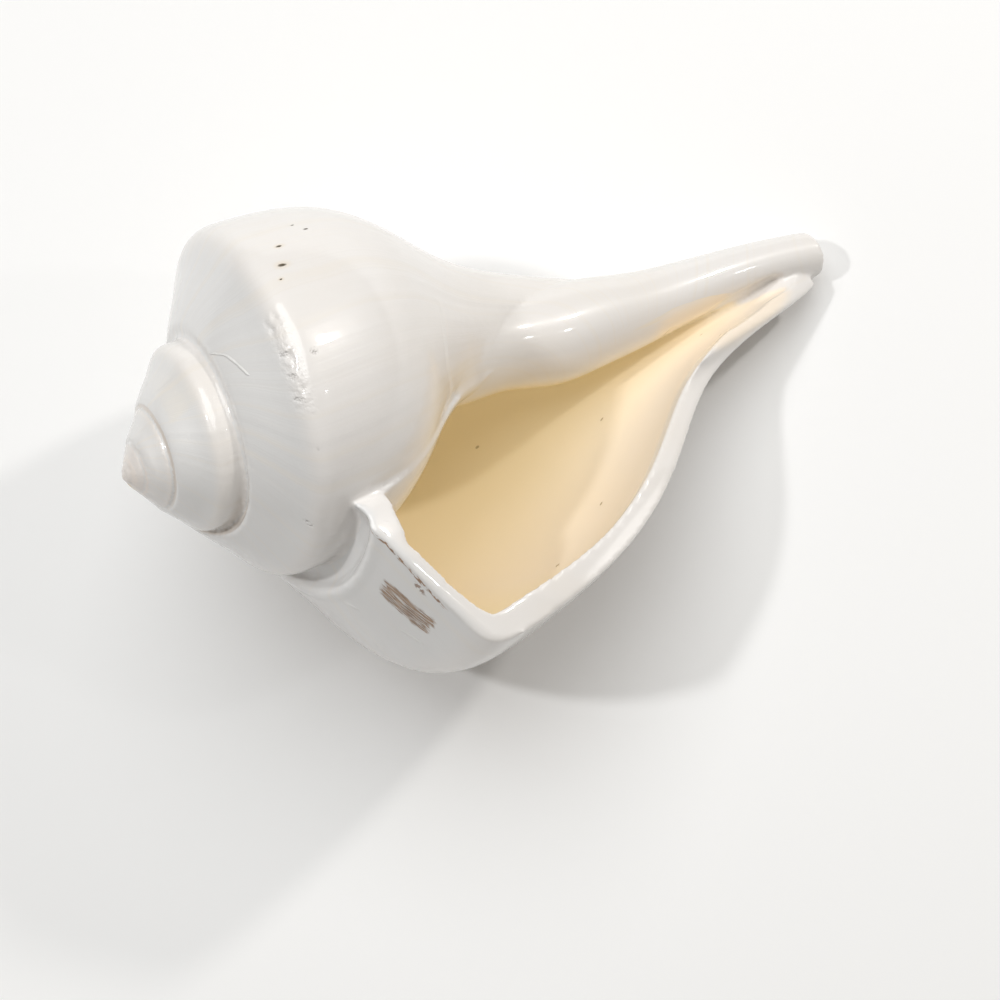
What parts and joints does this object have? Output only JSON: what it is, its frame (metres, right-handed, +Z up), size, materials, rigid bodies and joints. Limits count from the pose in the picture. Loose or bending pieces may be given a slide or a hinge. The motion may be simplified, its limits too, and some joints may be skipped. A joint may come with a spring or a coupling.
{
  "type": "conch shell",
  "caption": "Polished white left-handed conch shell lying on its back, with a low stepped spire, a wide shouldered body, and a yellow-lined mouth that narrows into a long open canal.",
  "frame": {"origin": "on the surface it lies on, under the middle of its bounding box", "axes": "+Z up through the open mouth, +X from the spire towards the end of the canal"},
  "size_m": [0.1554, 0.107, 0.094],
  "materials": {
    "shell": "polished white shell with a warm yellow lining in the mouth"
  },
  "bodies": {
    "root": {"shell": "shell"}
  },
  "joints": []
}
